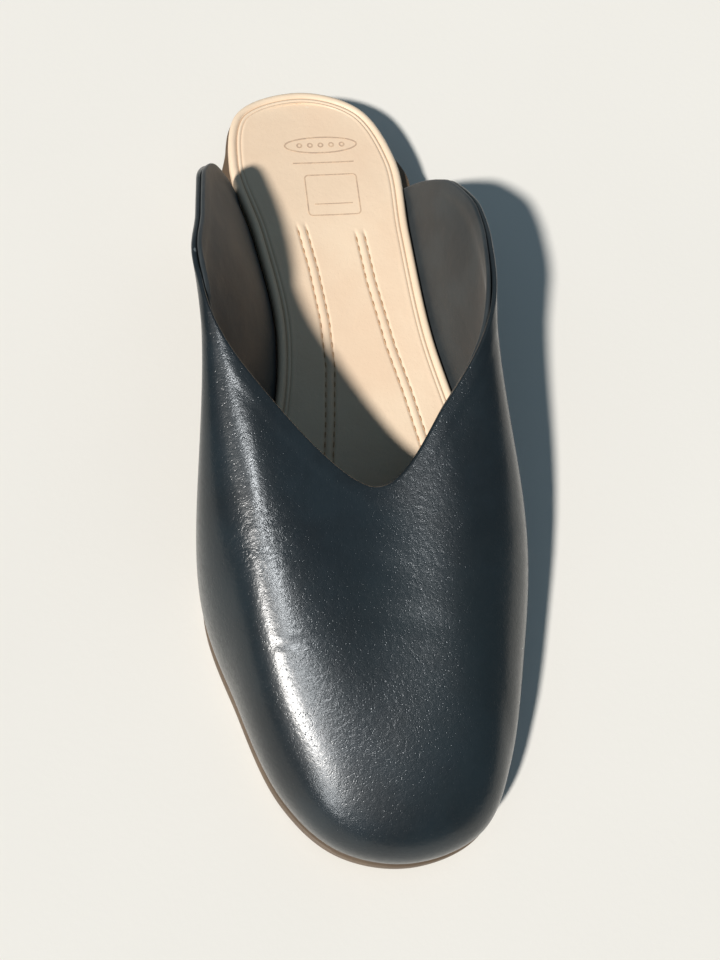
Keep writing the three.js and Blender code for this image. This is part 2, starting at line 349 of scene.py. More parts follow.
def made(name, vertices, faces, sharp):
    """An object from millimetre vertices and faces, welded, with its faces out."""
    mesh = bpy.data.meshes.new(name)
    points = (np.asarray(vertices, float).reshape(-1, 3) + TO_ROW) * MM
    mesh.from_pydata(points.tolist(), [], [tuple(int(i) for i in f) for f in faces])
    obj = bpy.data.objects.new(name, mesh)
    bpy.context.scene.collection.objects.link(obj)
    bm = bmesh.new()
    bm.from_mesh(mesh)
    bmesh.ops.remove_doubles(bm, verts=bm.verts, dist=2e-6)
    bmesh.ops.dissolve_degenerate(bm, edges=bm.edges, dist=1e-7)
    bmesh.ops.recalc_face_normals(bm, faces=bm.faces)
    bm.to_mesh(mesh)
    bm.free()
    mesh.shade_smooth()
    mesh.set_sharp_from_angle(angle=math.radians(sharp))
    return obj


def grid_faces(rows, columns, start=0, closed=False):
    """Quads of a grid of rows x columns vertices. closed joins the last column to the first."""
    r = np.arange(rows - 1)[:, None]
    c = np.arange(columns if closed else columns - 1)[None, :]
    n = (c + 1) % columns
    quads = np.stack(
        [r * columns + c, r * columns + n, (r + 1) * columns + n, (r + 1) * columns + c], -1
    )
    return (quads.reshape(-1, 4) + start).tolist()


# ---------------------------------------------------------------- upper


def lasted_edge():
    loop = last_loop(480)
    edge = grown(loop, sole_ledge(loop[:, 1]) - WELT_STEP)
    edge = np.roll(edge, 240, axis=0)
    return edge[edge[:, 1] < QUARTER_END]


LASTED = lasted_edge()
LASTED_AT = np.r_[0.0, np.cumsum(np.linalg.norm(np.diff(LASTED, axis=0), axis=1))]
LASTED_AT /= LASTED_AT[-1]


def corner_span(t0, t1):
    a, b = table_values(TOPLINE, np.array([t0, t1]))
    return CORNER_RADIUS * abs(t1 - t0) / np.linalg.norm(b - a)


INNER_CORNER = corner_span(0.0, 0.04)
OUTER_CORNER = corner_span(1.0, 0.96)


def stations(between, corner):
    """Values of t: even along the upper, bunched towards its two rear edges."""
    bunch = 1 - np.cos(np.arange(corner) / corner * math.pi / 2)
    return np.r_[
        bunch * INNER_CORNER,
        np.linspace(INNER_CORNER, 1 - OUTER_CORNER, between),
        1 - bunch[::-1] * OUTER_CORNER,
    ]


def outer_face(t, near_edge, rows):
    """Grid of the upper's outer face, one column per t, from the sole to the free edge.
    The last rows stand near_edge mm below the edge, the others share out the rest."""
    foot = np.stack([np.interp(t, LASTED_AT, LASTED[:, k]) for k in (0, 1)], 1)
    step = 2e-3
    ahead = np.stack(
        [
            np.interp(np.minimum(t + step, 1), LASTED_AT, LASTED[:, k])
            - np.interp(np.maximum(t - step, 0), LASTED_AT, LASTED[:, k])
            for k in (0, 1)
        ],
        1,
    )
    out = unit(np.stack([ahead[:, 1], -ahead[:, 0]], 1))
    top = table_values(TOPLINE, t)
    wall, swell, reach, fall, lean = table_values(WALL_FORM, t).T
    plan = top[:, :2] - foot
    slant = plan - out * (plan * out).sum(1)[:, None]
    foot = np.c_[foot, outsole_top(foot[:, 1]) + GAP]
    shoulder = foot.copy()
    shoulder[:, :2] += out * swell[:, None] + slant * lean[:, None]
    shoulder[:, 2] += wall
    roll = top.copy()
    roll[:, :2] -= plan * reach[:, None]
    roll[:, 2] -= fall
    b = np.linspace(0, 1, FACE_STEPS)[:, None, None]
    fine = (
        (1 - b) ** 3 * foot
        + 3 * (1 - b) ** 2 * b * shoulder
        + 3 * (1 - b) * b**2 * roll
        + b**3 * top
    )
    run = np.vstack(
        [np.zeros(len(t)), np.cumsum(np.linalg.norm(np.diff(fine, axis=0), axis=2), axis=0)]
    )
    u = np.minimum(1, np.minimum(t / INNER_CORNER, (1 - t) / OUTER_CORNER))
    cut = CORNER_RADIUS * (1 - np.sqrt(np.clip(1 - (1 - u) ** 2, 0, 1)))
    grid = np.empty((len(t), rows + len(near_edge), 3))
    for i in range(len(t)):
        length = run[-1, i] - cut[i]
        upto = length - near_edge[0]
        at = np.r_[np.linspace(0, upto, rows, endpoint=False), length - near_edge]
        for k in range(3):
            grid[i, :, k] = np.interp(at, run[:, i], fine[:, i, k])
    return grid


def face_normals(grid):
    along = np.gradient(grid, axis=0)
    up = np.gradient(grid, axis=1)
    return unit(np.cross(along, up))


def edge_distance(grid, reach):
    """Distance of each grid point to the free edge, up to reach."""
    rim = np.concatenate([grid[0, :-1], grid[:, -1], grid[-1, -2::-1]])
    a, b = rim[:-1], rim[1:]
    ab = b - a
    length2 = np.maximum((ab**2).sum(1), 1e-12)
    flat = grid.reshape(-1, 3)
    result = np.full(len(flat), reach)
    nearest = np.full(len(flat), np.inf)
    for k in range(0, len(rim), RIM_STRIDE):
        nearest = np.minimum(nearest, ((flat - rim[k]) ** 2).sum(1))
    margin = 6.0
    for i in np.nonzero(nearest < (reach + margin) ** 2)[0]:
        w = flat[i] - a
        h = np.clip((w * ab).sum(1) / length2, 0, 1)
        result[i] = min(reach, math.sqrt(((w - ab * h[:, None]) ** 2).sum(1).min()))
    return result.reshape(grid.shape[:2])


def nose(distance, radius):
    """How far each side of a rounded edge draws in at this distance from the edge."""
    inside = np.clip(radius - distance, 0, radius)
    return radius - np.sqrt(radius**2 - inside**2)


def creased(points):
    """Height of the listed creases at each point of the upper."""
    lift = np.zeros(points.shape[:-1])
    for x0, y0, x1, y1, depth, width, rise in CREASES:
        a = np.array([x0, y0])
        ab = np.array([x1, y1]) - a
        length = np.linalg.norm(ab)
        d = ab / length
        w = points[..., :2] - a
        s = (w @ d) / length
        bow = CREASE_BOW * np.sin(np.clip(s, 0, 1) * CREASE_WAVE + x0)
        across = w @ np.array([-d[1], d[0]]) - bow
        fade = smooth(s, 0.0, 0.3) * (1 - smooth(s, 0.65, 1.0))
        trough = -depth * np.exp(-((across / width) ** 2))
        roll = rise * sum(
            np.exp(-(((across - side * ROLL_PLACE * width) / (ROLL_WIDTH * width)) ** 2))
            for side in (1, -1)
        )
        lift += (trough + roll) * fade
    return lift


def shell(name, columns, corner, rows, near_edge, outside, inside):
    """A closed sheet of the upper between two depths below its outer face."""
    grid = outer_face(stations(columns, corner), np.array(near_edge), rows)
    normals = face_normals(grid)
    distance = edge_distance(grid, EDGE_BAND + 2)
    layers = [grid - normals * depth(grid, distance)[..., None] for depth in (outside, inside)]
    m, n = grid.shape[:2]
    count = m * n
    faces = grid_faces(m, n) + grid_faces(m, n, start=count)
    free_edge = [i * n + n - 1 for i in range(m)]
    inner_rear = list(range(n))
    outer_rear = [(m - 1) * n + k for k in range(n)]
    sole_side = [i * n for i in range(m)]
    for path in (free_edge, inner_rear, outer_rear, sole_side):
        faces += [[a, b, b + count, a + count] for a, b in zip(path, path[1:])]
    return made(name, np.concatenate([g.reshape(-1, 3) for g in layers]), faces, sharp=60)


def leather_swell(distance):
    return LEATHER_EDGE_SWELL * (1 - smooth(distance, LEATHER_EDGE_FULL, EDGE_BAND))


def leather_outside(grid, distance):
    swell = leather_swell(distance)
    rounded = nose(distance, (LEATHER + swell) / 2)
    return rounded - swell - creased(grid) * smooth(distance, 1.5, 7.0)


def leather_inside(grid, distance):
    return LEATHER - nose(distance, (LEATHER + leather_swell(distance)) / 2)


def lining_swell(distance):
    return LINING_EDGE_SWELL * (1 - smooth(distance, LINING_EDGE_FULL, EDGE_BAND))


def lining_outside(grid, distance):
    return LINING_FACE + nose(distance, (LINING + lining_swell(distance)) / 2)


def lining_inside(grid, distance):
    swell = lining_swell(distance)
    return LINING_FACE + LINING + swell - nose(distance, (LINING + swell) / 2)


leather = shell(
    "upper_leather",
    columns=370,
    corner=14,
    rows=88,
    near_edge=[6.5, 5.2, 4.2, 3.3, 2.5, 1.8, 1.25, 0.85, 0.55, 0.32, 0.14, 0.04, 0.0],
    outside=leather_outside,
    inside=leather_inside,
)
lining = shell(
    "upper_lining",
    columns=250,
    corner=12,
    rows=46,
    near_edge=[6.5, 5.0, 3.8, 2.8, 2.0, 1.4, 0.9, 0.55, 0.3, 0.12, 0.03, 0.0],
    outside=lining_outside,
    inside=lining_inside,
)

# ---------------------------------------------------------------- footbed

FOOT_LOOP = last_loop(900)
HALF = len(FOOT_LOOP) // 2
FOOT_SIDES = {
    "outer": FOOT_LOOP[: HALF + 1],
    "inner": np.r_[FOOT_LOOP[:1], FOOT_LOOP[:HALF - 1:-1]],
}


def side_x(side, y):
    edge = FOOT_SIDES[side]
    order = np.argsort(edge[:, 1])
    return np.interp(y, edge[order, 1], edge[order, 0])


def channel_x(side, y):
    points = np.array(CHANNELS[side])[::-1]
    return np.interp(y, points[:, 1], points[:, 0])


def channel_height(x, y):
    """The stitched channels: a groove each side of a low ridge."""
    height = np.zeros(np.broadcast(x, y).shape)
    for side in CHANNELS:
        s = x - channel_x(side, y)
        start = CHANNELS[side][0][1]
        fade = smooth(y, CHANNEL_FRONT - CHANNEL_FRONT_FADE, CHANNEL_FRONT)
        fade = fade * (1 - smooth(y, start - CHANNEL_HEEL_FADE, start))
        grooves = sum(np.exp(-(((s - k * CHANNEL_HALF) / GROOVE_WIDTH) ** 2)) for k in (-1, 1))
        ridge = np.exp(-((s / RIDGE_WIDTH) ** 2))
        height += fade * (RIDGE_HEIGHT * ridge - GROOVE_DEPTH * grooves)
    return height


def field_height(x, y):
    """Top of the footbed inside its rim: dished across, with the stitched channels."""
    inner, outer = side_x("inner", y), side_x("outer", y)
    f = np.clip((x - inner) / np.maximum(outer - inner, 1e-6), 0, 1)
    dish = DISH * np.sin(math.pi * f) ** 1.5
    return insole_top(y) - dish + channel_height(x, y)


# Across the rim: distance in from the edge, height over the top.
RIM_PROFILE = [
    (0.0, -1.5),
    (0.08, -0.95),
    (0.3, -0.45),
    (0.65, -0.06),
    (1.05, 0.14),
    (1.5, 0.18),
    (1.95, 0.08),
    (2.3, -0.14),
    (2.55, -0.42),
    (RIM_ROLL, -0.5),
    (2.85, -0.4),
    (3.05, -0.16),
    (RIM_RIDGE, -0.04),
    (3.65, -0.12),
    (3.85, -0.26),
    (4.0, -0.28),
    (4.15, -0.16),
    (FIELD, -0.03),
]


# Up the side, below the rim: inset, height over the bottom.
SIDE_PROFILE = [(0.45, 0.0), (0.1, 0.35), (0.0, 0.8), (0.0, 1.9)]
LINE_STEPS = (17, 24, 22, 24, 17)  # of a line across: side, channel, middle, channel, side
LEAST_SHARE = 0.06  # of a line across, for each of those parts near the toe and the heel
BOTTOM_COLUMNS = 13


def footbed_rings():
    """Closed rings from the bottom edge up the side and over the rim to the field."""
    rings = []
    for inset, height in SIDE_PROFILE:
        ring = grown(FOOT_LOOP, -inset)
        rings.append(np.c_[ring, insole_bottom(ring[:, 1]) + height])
    for inset, height in RIM_PROFILE:
        ring = grown(FOOT_LOOP, -inset)
        rings.append(np.c_[ring, insole_top(ring[:, 1]) + height])
    return np.array(rings)


def field_line(a, b):
    """Points from a to b across the field, close together over the two channels."""
    y = (a[1] + b[1]) / 2
    width = max(b[0] - a[0], 1e-6)
    marks = [0.0]
    for side in CHANNELS:
        middle = (channel_x(side, y) - a[0]) / width
        half = CHANNEL_BLOCK / width
        marks += [middle - half, middle + half]
    marks.append(1.0)
    least = np.arange(len(marks)) * LEAST_SHARE
    marks = np.clip(np.maximum(marks, least), 0, 1 - least[::-1])
    marks[0], marks[-1] = 0.0, 1.0
    parts = [
        np.linspace(marks[k], marks[k + 1], n, endpoint=False) for k, n in enumerate(LINE_STEPS)
    ]
    f = np.concatenate(parts + [[1.0]])
    p = a[None, :2] + (b - a)[None, :2] * f[:, None]
    blend = smooth(np.minimum(f, 1 - f) * width, 0.0, 1.2)
    edge_z = a[2] + (b[2] - a[2]) * f
    z = edge_z + (field_height(p[:, 0], p[:, 1]) - edge_z) * blend
    z[0], z[-1] = a[2], b[2]
    return np.c_[p, z]


def bottom_line(a, b):
    f = np.linspace(0, 1, BOTTOM_COLUMNS)[:, None]
    p = a * (1 - f) + b * f
    p[:, 2] = insole_bottom(p[:, 1])
    return p


def footbed():
    rings = footbed_rings()
    count = len(FOOT_LOOP)
    vertices = [rings.reshape(-1, 3)]
    faces = grid_faces(len(rings), count, closed=True)
    # the field and the hidden flat bottom: lines from each point of a ring to the one over the way
    for ring, line in ((rings[-1], field_line), (rings[0], bottom_line)):
        lines = np.array([line(ring[(count - i) % count], ring[i]) for i in range(HALF + 1)])
        start = sum(len(v) for v in vertices)
        vertices.append(lines.reshape(-1, 3))
        faces += grid_faces(HALF + 1, lines.shape[1], start=start)
    return made("footbed", np.concatenate(vertices), faces, sharp=70)


footbed_piece = footbed()


def stitch(a, b):
    """Vertices and faces of a short stitch that dips into the leather at both ends."""
    up = np.array([0.0, 0.0, 1.0])
    cross = unit(np.cross(up, unit(b - a)))
    angle = np.arange(STITCH_SIDES) / STITCH_SIDES * 2 * math.pi
    round_section = np.outer(np.cos(angle), cross) + np.outer(np.sin(angle), up)
    vertices = []
    for at, size, rise in STITCH_PROFILE:
        centre = a + (b - a) * at + up * STITCH_RADIUS * rise
        vertices.append(centre + STITCH_RADIUS * size * round_section)
    last = (len(STITCH_PROFILE) - 1) * STITCH_SIDES
    faces = grid_faces(len(STITCH_PROFILE), STITCH_SIDES, closed=True)
    faces += [list(range(STITCH_SIDES))[::-1], [last + k for k in range(STITCH_SIDES)]]
    return np.concatenate(vertices), faces


def joined(name, parts):
    vertices, faces, start = [], [], 0
    for v, f in parts:
        vertices.append(v)
        faces += [[i + start for i in face] for face in f]
        start += len(v)
    return made(name, np.concatenate(vertices), faces, sharp=60)


def channel_stitches():
    parts = []
    for side, points in CHANNELS.items():
        y = points[0][1] - CHANNEL_HEEL_FADE
        while y > CHANNEL_FRONT + STITCH_LENGTH:
            for k in (-1, 1):
                ends = []
                for end_y in (y, y - STITCH_LENGTH):
                    x = channel_x(side, end_y) + k * CHANNEL_HALF
                    ends.append(np.array([x, end_y, field_height(x, end_y) + STITCH_RISE]))
                parts.append(stitch(*ends))
            y -= STITCH_PITCH
    return joined("footbed_stitches", parts)


stitches = channel_stitches()


def ribbon(points, width, closed=False):
    """A fine printed line on the footbed, as a thin strip that follows its surface."""
    points = np.array(points, float)
    ahead = np.roll(points, -1, 0) - np.roll(points, 1, 0)
    if not closed:
        ahead[0], ahead[-1] = points[1] - points[0], points[-1] - points[-2]
    n = unit(np.stack([ahead[:, 1], -ahead[:, 0]], 1))
    section = [(-0.5, -PRINT_DEPTH), (-0.5, PRINT_RISE), (0.5, PRINT_RISE), (0.5, -PRINT_DEPTH)]
    rows = []
    for across, lift in section:
        p = points + n * across * width
        rows.append(np.c_[p, field_height(p[:, 0], p[:, 1]) + lift])
    rows = np.array(rows).transpose(1, 0, 2)
    if closed:
        rows = np.concatenate([rows, rows[:1]])
    faces = grid_faces(len(rows), 4, closed=True)
    if not closed:
        last = (len(rows) - 1) * 4
        faces += [[3, 2, 1, 0], [last, last + 1, last + 2, last + 3]]
    return rows.reshape(-1, 3), faces


def oval(x, y, half_x, half_y):
    turn = np.linspace(0, 2 * math.pi, 72, endpoint=False)
    return np.stack([x + half_x * np.cos(turn), y + half_y * np.sin(turn)], 1)


def rule(x_from, x_to, y):
    share = np.linspace(0, 1, 24)
    return np.stack([x_from + (x_to - x_from) * share, np.full(len(share), y)], 1)


def frame_line():
    """A box with rounded corners, with points along its sides so that it follows the footbed."""
    (x0, x1), (y0, y1) = FRAME_X, FRAME_Y
    corners = np.array([(x1, y1), (x0, y1), (x0, y0), (x1, y0)])
    points = []
    for k, corner in enumerate(corners):
        angle = np.radians(90 * k + np.linspace(0, 90, 8))
        points += [corner + FRAME_CORNER * np.array([np.cos(v), np.sin(v)]) for v in angle]
        last, run = points[-1], corners[(k + 1) % 4] - corner
        points += [last + run * share for share in np.linspace(0.08, 0.92, 12)]
    return points


def heel_mark():
    """A generic stamp at the heel."""
    parts = [
        ribbon(oval(STAMP_X, OVAL_Y, *OVAL_HALF), 0.5, closed=True),
        ribbon(rule(*RULE), 0.45),
        ribbon(frame_line(), 0.4, closed=True),
        ribbon(rule(*FRAME_RULE), 0.35),
    ]
    for k in (-2, -1, 0, 1, 2):
        dot = oval(STAMP_X + DOT_PITCH * k, OVAL_Y, DOT_RADIUS, DOT_RADIUS)
        parts.append(ribbon(dot, 0.5, closed=True))
    return joined("footbed_mark", parts)


mark = heel_mark()

# ---------------------------------------------------------------- sole


def ring_solid(name, loop, rings, sharp):
    """A flat-bodied piece from rings of the loop: inset, share drawn to the middle line, z(y)."""
    count = len(loop)
    low_y = loop[:, 1].min() + MIDDLE_LINE_ENDS
    high_y = loop[:, 1].max() - MIDDLE_LINE_ENDS
    mid_x = (loop[:, 0].min() + loop[:, 0].max()) / 2
    levels = []
    for inset, toward, height in rings:
        ring = grown(loop, -inset)
        across = ring[(count - np.arange(count)) % count]
        middle = np.stack(
            [np.full(count, mid_x), np.clip((ring[:, 1] + across[:, 1]) / 2, low_y, high_y)], 1
        )
        p = ring + (middle - ring) * toward
        levels.append(np.c_[p, height(p[:, 1])])
    faces = grid_faces(len(levels), count, closed=True)
    return made(name, np.array(levels).reshape(-1, 3), faces, sharp)


def over(surface, lift):
    """A height function, `lift` over a surface of y."""
    return lambda y: surface(y) + lift


def outsole():
    inset = OUTSOLE_PROFILE[0][0]
    rings = [(inset, share, underside) for share in (1.0, 0.8, 0.6, 0.4, 0.2)]
    rings += [(inset, 0, over(underside, lift)) for inset, lift in OUTSOLE_PROFILE]
    rings += [(inset, share, outsole_top) for share in (0.5, 1.0)]
    return ring_solid("outsole_edge", SOLE_LOOP, rings, sharp=50)


def heel_loop(shrink):
    """The back of the outline closed by the hollow breast, from the middle of the breast."""
    fine = last_loop(960)
    back = grown(fine, sole_ledge(fine[:, 1]) - HEEL_INSET - shrink)
    seat = back[back[:, 1] > BREAST + shrink]
    outer, inner = seat[0], seat[-1]
    u = (np.arange(BREAST_POINTS) + 1) / (BREAST_POINTS + 1)
    breast = inner + (outer - inner) * u[:, None]
    breast[:, 1] += BREAST_HOLLOW * 4 * u * (1 - u)
    run = np.r_[0, np.cumsum(np.linalg.norm(np.diff(seat, axis=0), axis=1))]
    even = np.linspace(0, run[-1], HEEL_SIDE_STEPS + 1)
    side = np.stack([np.interp(even, run, seat[:, k]) for k in (0, 1)], 1)
    half = (BREAST_POINTS - 1) // 2
    return np.concatenate([breast[half:], side, breast[:half]])


def stack_level(share):
    """A height function, this share of the way from the heel cap to the outsole."""
    bottom = HEEL_TIP_THICKNESS + GAP
    return lambda y: bottom + (underside(y) - GAP - bottom) * share


def stack_taper(share):
    return HEEL_TAPER * (1 - share)


def heel_stack():
    rings = [
        (HEEL_TAPER + STACK_INSET, 1.0, stack_level(0)),
        (HEEL_TAPER + STACK_INSET, 0.5, stack_level(0)),
        (HEEL_TAPER + 0.25, 0, stack_level(0)),
        (HEEL_TAPER, 0, stack_level(0.03)),
    ]
    for joint in STACK_JOINTS:
        for step, groove in JOINT_GROOVE:
            share = joint + step
            rings.append((stack_taper(share) + groove, 0, stack_level(share)))
    rings += [
        (stack_taper(0.97), 0, stack_level(0.97)),
        (0.2, 0, stack_level(1)),
        (STACK_INSET, 0, stack_level(1)),
        (STACK_INSET, 0.5, stack_level(1)),
        (STACK_INSET, 1.0, stack_level(1)),
    ]
    return ring_solid("heel_stack", heel_loop(0), rings, sharp=35)


def at_height(z):
    return lambda y: np.full_like(y, z)


def heel_cap():
    inset = CAP_PROFILE[0][0]
    rings = [(inset, share, at_height(0.0)) for share in (1.0, 0.5)]
    rings += [(inset, 0, at_height(z)) for inset, z in CAP_PROFILE]
    rings += [(inset, share, at_height(HEEL_TIP_THICKNESS)) for share in (0.5, 1.0)]
    return ring_solid("heel_cap", heel_loop(HEEL_TAPER), rings, sharp=35)


sole_piece = outsole()
stack = heel_stack()
cap = heel_cap()

# ---------------------------------------------------------------- materials


def linear(r, g, b):
    """Shader colour from an 8-bit screen colour."""
    shares = [v / 255 for v in (r, g, b)]
    curve = [c / 12.92 if c <= 0.04045 else ((c + 0.055) / 1.055) ** 2.4 for c in shares]
    return (*curve, 1.0)


# Places of the finishes on the shoe, in metres: middle, radius.
FLEX_SPOT = ((-0.031, -0.040, 0.049), 0.015)  # wrinkles on the inner side, where the foot bends
HEEL_TREAD = ((0.0, 0.098, 0.020), 0.034)
BALL_TREAD = ((-0.004, -0.060, 0.009), 0.05)


class Nodes:
    """Short calls for the nodes of one material."""

    def __init__(self, name):
        self.material = bpy.data.materials.new(name)
        self.material.use_nodes = True
        self.tree = self.material.node_tree
        self.shader = next(n for n in self.tree.nodes if n.type == "BSDF_PRINCIPLED")
        self.place = self.tree.nodes.new("ShaderNodeTexCoord").outputs["Object"]

    def link(self, value, socket):
        if isinstance(value, bpy.types.NodeSocket):
            self.tree.links.new(value, socket)
        else:
            socket.default_value = value

    def noise(self, scale, detail, rough=0.55, place=None, warp=0.0):
        n = self.tree.nodes.new("ShaderNodeTexNoise")
        self.link(place or self.place, n.inputs["Vector"])
        n.inputs["Scale"].default_value = scale
        n.inputs["Detail"].default_value = detail
        n.inputs["Roughness"].default_value = rough
        n.inputs["Distortion"].default_value = warp
        return n.outputs["Fac"]

    def cells(self, scale):
        n = self.tree.nodes.new("ShaderNodeTexVoronoi")
        self.link(self.place, n.inputs["Vector"])
        n.inputs["Scale"].default_value = scale
        return n.outputs["Distance"]

    def stretch(self, scale, turn=(0.0, 0.0, 0.0)):
        n = self.tree.nodes.new("ShaderNodeMapping")
        n.inputs["Scale"].default_value = scale
        n.inputs["Rotation"].default_value = turn
        self.link(self.place, n.inputs["Vector"])
        return n.outputs["Vector"]

    def ramp(self, value, low, high, out_low=0.0, out_high=1.0):
        n = self.tree.nodes.new("ShaderNodeMapRange")
        n.interpolation_type = "SMOOTHSTEP"
        self.link(value, n.inputs["Value"])
        n.inputs["From Min"].default_value = low
        n.inputs["From Max"].default_value = high
        n.inputs["To Min"].default_value = out_low
        n.inputs["To Max"].default_value = out_high
        return n.outputs["Result"]

    def math(self, operation, a, b):
        n = self.tree.nodes.new("ShaderNodeMath")
        n.operation = operation
        self.link(a, n.inputs[0])
        self.link(b, n.inputs[1])
        return n.outputs[0]

    def times(self, a, b):
        return self.math("MULTIPLY", a, b)

    def mix(self, share, a, b):
        n = self.tree.nodes.new("ShaderNodeMix")
        n.data_type = "RGBA"
        self.link(share, n.inputs["Factor"])
        for value, socket in ((a, n.inputs[6]), (b, n.inputs[7])):
            self.link(value, socket)
        return n.outputs[2]

    def geometry(self, output):
        return self.tree.nodes.new("ShaderNodeNewGeometry").outputs[output]

    def upward(self):
        """How far the surface faces up, from -1 to 1."""
        n = self.tree.nodes.new("ShaderNodeSeparateXYZ")
        self.link(self.geometry("Normal"), n.inputs[0])
        return n.outputs["Z"]

    def near(self, centre, radius):
        """1 near a point of the shoe, falling to 0 at radius."""
        n = self.tree.nodes.new("ShaderNodeVectorMath")
        n.operation = "DISTANCE"
        self.link(self.place, n.inputs[0])
        n.inputs[1].default_value = centre
        return self.ramp(n.outputs["Value"], radius * 0.35, radius, 1.0, 0.0)

    def edge_wear_and_highlight(self):
        """Strong where the surface turns sharply outwards: a painted highlight on the upper's edges,
        real wear on the sole, the heel and the heel cap.
        """
        return self.ramp(self.geometry("Pointiness"), 0.51, 0.58)

    def bumps(self, *layers):
        """Each layer is a height and its depth in metres."""
        normal = None
        for height, depth in layers:
            n = self.tree.nodes.new("ShaderNodeBump")
            n.inputs["Distance"].default_value = depth
            self.link(height, n.inputs["Height"])
            if normal is not None:
                self.link(normal, n.inputs["Normal"])
            normal = n.outputs["Normal"]
        self.link(normal, self.shader.inputs["Normal"])
        self.link(normal, self.shader.inputs["Coat Normal"])

    def set(self, **values):
        names = {
            "color": "Base Color",
            "rough": "Roughness",
            "coat": "Coat Weight",
            "coat_rough": "Coat Roughness",
            "sheen": "Sheen Weight",
            "sheen_rough": "Sheen Roughness",
            "specular": "Specular IOR Level",
        }
        for key, value in values.items():
            self.link(value, self.shader.inputs[names[key]])
        return self.material


def upper_material():
    m = Nodes("smooth_navy_leather")
    cloud = m.noise(38, 4, 0.6)
    patch = m.noise(9, 2, 0.5)
    pores = m.cells(1150)
    fine = m.noise(2600, 3, 0.6)
    grain = m.noise(620, 4, 0.62, warp=0.6)
    across = m.stretch((420, 620, 500), turn=(0, 0, 0.28))
    wrinkle = m.noise(1.0, 4, 0.6, place=across, warp=0.8)
    wrinkles = m.times(m.ramp(wrinkle, 0.4, 0.6), m.near(*FLEX_SPOT))
    tone = m.mix(m.ramp(cloud, 0.35, 0.7), linear(14, 19, 22), linear(20, 27, 31))
    tone = m.mix(m.ramp(patch, 0.4, 0.75, 0.0, 0.55), tone, linear(18, 25, 27))
    tone = m.mix(m.ramp(pores, 0.0, 0.22, 0.35, 0.0), tone, linear(12, 15, 18))
    # painted highlight: pale bluish grey along the leather's sharp edges, the topline among them
    tone = m.mix(m.times(m.edge_wear_and_highlight(), 0.7), tone, linear(92, 98, 100))
    rough = m.math("ADD", m.ramp(grain, 0.3, 0.7, 0.33, 0.43), m.times(wrinkles, 0.08))
    rough = m.math("ADD", rough, m.ramp(cloud, 0.35, 0.7, 0.05, -0.02))
    m.bumps(
        (m.ramp(pores, 0.0, 0.3), 0.000035),
        (grain, 0.00007),
        (fine, 0.000018),
        (wrinkles, 0.00003),
    )
    return m.set(color=tone, rough=rough, coat=0.75, coat_rough=0.24, specular=0.1)


def lining_material():
    m = Nodes("charcoal_lining")
    cloud = m.noise(60, 4, 0.6)
    nap = m.noise(1900, 4, 0.65)
    pores = m.cells(1500)
    tone = m.mix(m.ramp(cloud, 0.3, 0.72), linear(37, 44, 48), linear(52, 59, 62))
    tone = m.mix(m.ramp(pores, 0.0, 0.2, 0.3, 0.0), tone, linear(38, 40, 40))
    rough = m.ramp(cloud, 0.3, 0.7, 0.5, 0.6)
    m.bumps((nap, 0.00006), (m.ramp(pores, 0.0, 0.25), 0.00003), (m.noise(140, 2), 0.00022))
    return m.set(color=tone, rough=rough, sheen=0.12, sheen_rough=0.5)


def footbed_material():
    m = Nodes("cream_footbed_leather")
    cloud = m.noise(30, 4, 0.6)
    fine = m.noise(900, 4, 0.6)
    pores = m.cells(1300)
    tone = m.mix(m.ramp(cloud, 0.32, 0.7), linear(249, 225, 196), linear(244, 216, 186))
    tread = m.math("ADD", m.near(*HEEL_TREAD), m.near(*BALL_TREAD))
    tone = m.mix(m.times(tread, 0.35), tone, linear(233, 203, 174))
    tone = m.mix(m.ramp(pores, 0.0, 0.2, 0.22, 0.0), tone, linear(188, 150, 116))
    # painted shade darkens the grooves and a painted highlight makes the ridges paler
    turn = m.geometry("Pointiness")
    tone = m.mix(m.ramp(turn, 0.49, 0.43, 0.0, 0.75), tone, linear(150, 108, 74))
    tone = m.mix(m.ramp(turn, 0.51, 0.56, 0.0, 0.5), tone, linear(248, 235, 212))
    rough = m.ramp(fine, 0.3, 0.7, 0.46, 0.6)
    m.bumps((fine, 0.00005), (m.ramp(pores, 0.0, 0.25), 0.00003), (m.noise(120, 3), 0.00018))
    return m.set(color=tone, rough=rough)


def stack_material():
    m = Nodes("stained_heel_stack")
    cloud = m.noise(45, 4, 0.6)
    fine = m.noise(1400, 4, 0.6)
    layers = m.noise(1.0, 3, 0.6, place=m.stretch((60, 60, 2600)))
    dark = linear(40, 34, 30)
    tone = m.mix(m.ramp(cloud, 0.32, 0.7), dark, linear(54, 46, 40))
    tone = m.mix(m.times(m.edge_wear_and_highlight(), 0.4), tone, linear(92, 84, 78))
    tone = m.mix(m.ramp(layers, 0.45, 0.65, 0.0, 0.5), tone, dark)
    m.bumps((layers, 0.00006), (fine, 0.00003))
    return m.set(color=tone, rough=m.ramp(fine, 0.3, 0.7, 0.37, 0.49))


def outsole_material():
    m = Nodes("taupe_outsole")
    cloud = m.noise(40, 4, 0.6)
    fine = m.noise(1500, 4, 0.6)
    scuff = m.noise(1.0, 4, 0.7, place=m.stretch((900, 90, 200), turn=(0, 0, 0.5)))
    tone = m.mix(m.ramp(cloud, 0.32, 0.7), linear(96, 80, 64), linear(110, 93, 75))
    below = m.ramp(m.upward(), -0.6, -0.9)
    scuffed = m.times(m.ramp(scuff, 0.56, 0.7), m.times(below, 0.5))
    tone = m.mix(m.times(below, 0.7), tone, linear(92, 77, 62))
    tone = m.mix(scuffed, tone, linear(150, 134, 116))
    tone = m.mix(m.times(m.edge_wear_and_highlight(), 0.2), tone, linear(142, 124, 104))
    m.bumps((fine, 0.00005), (m.noise(300, 3), 0.00008))
    return m.set(color=tone, rough=m.ramp(cloud, 0.3, 0.7, 0.5, 0.62))


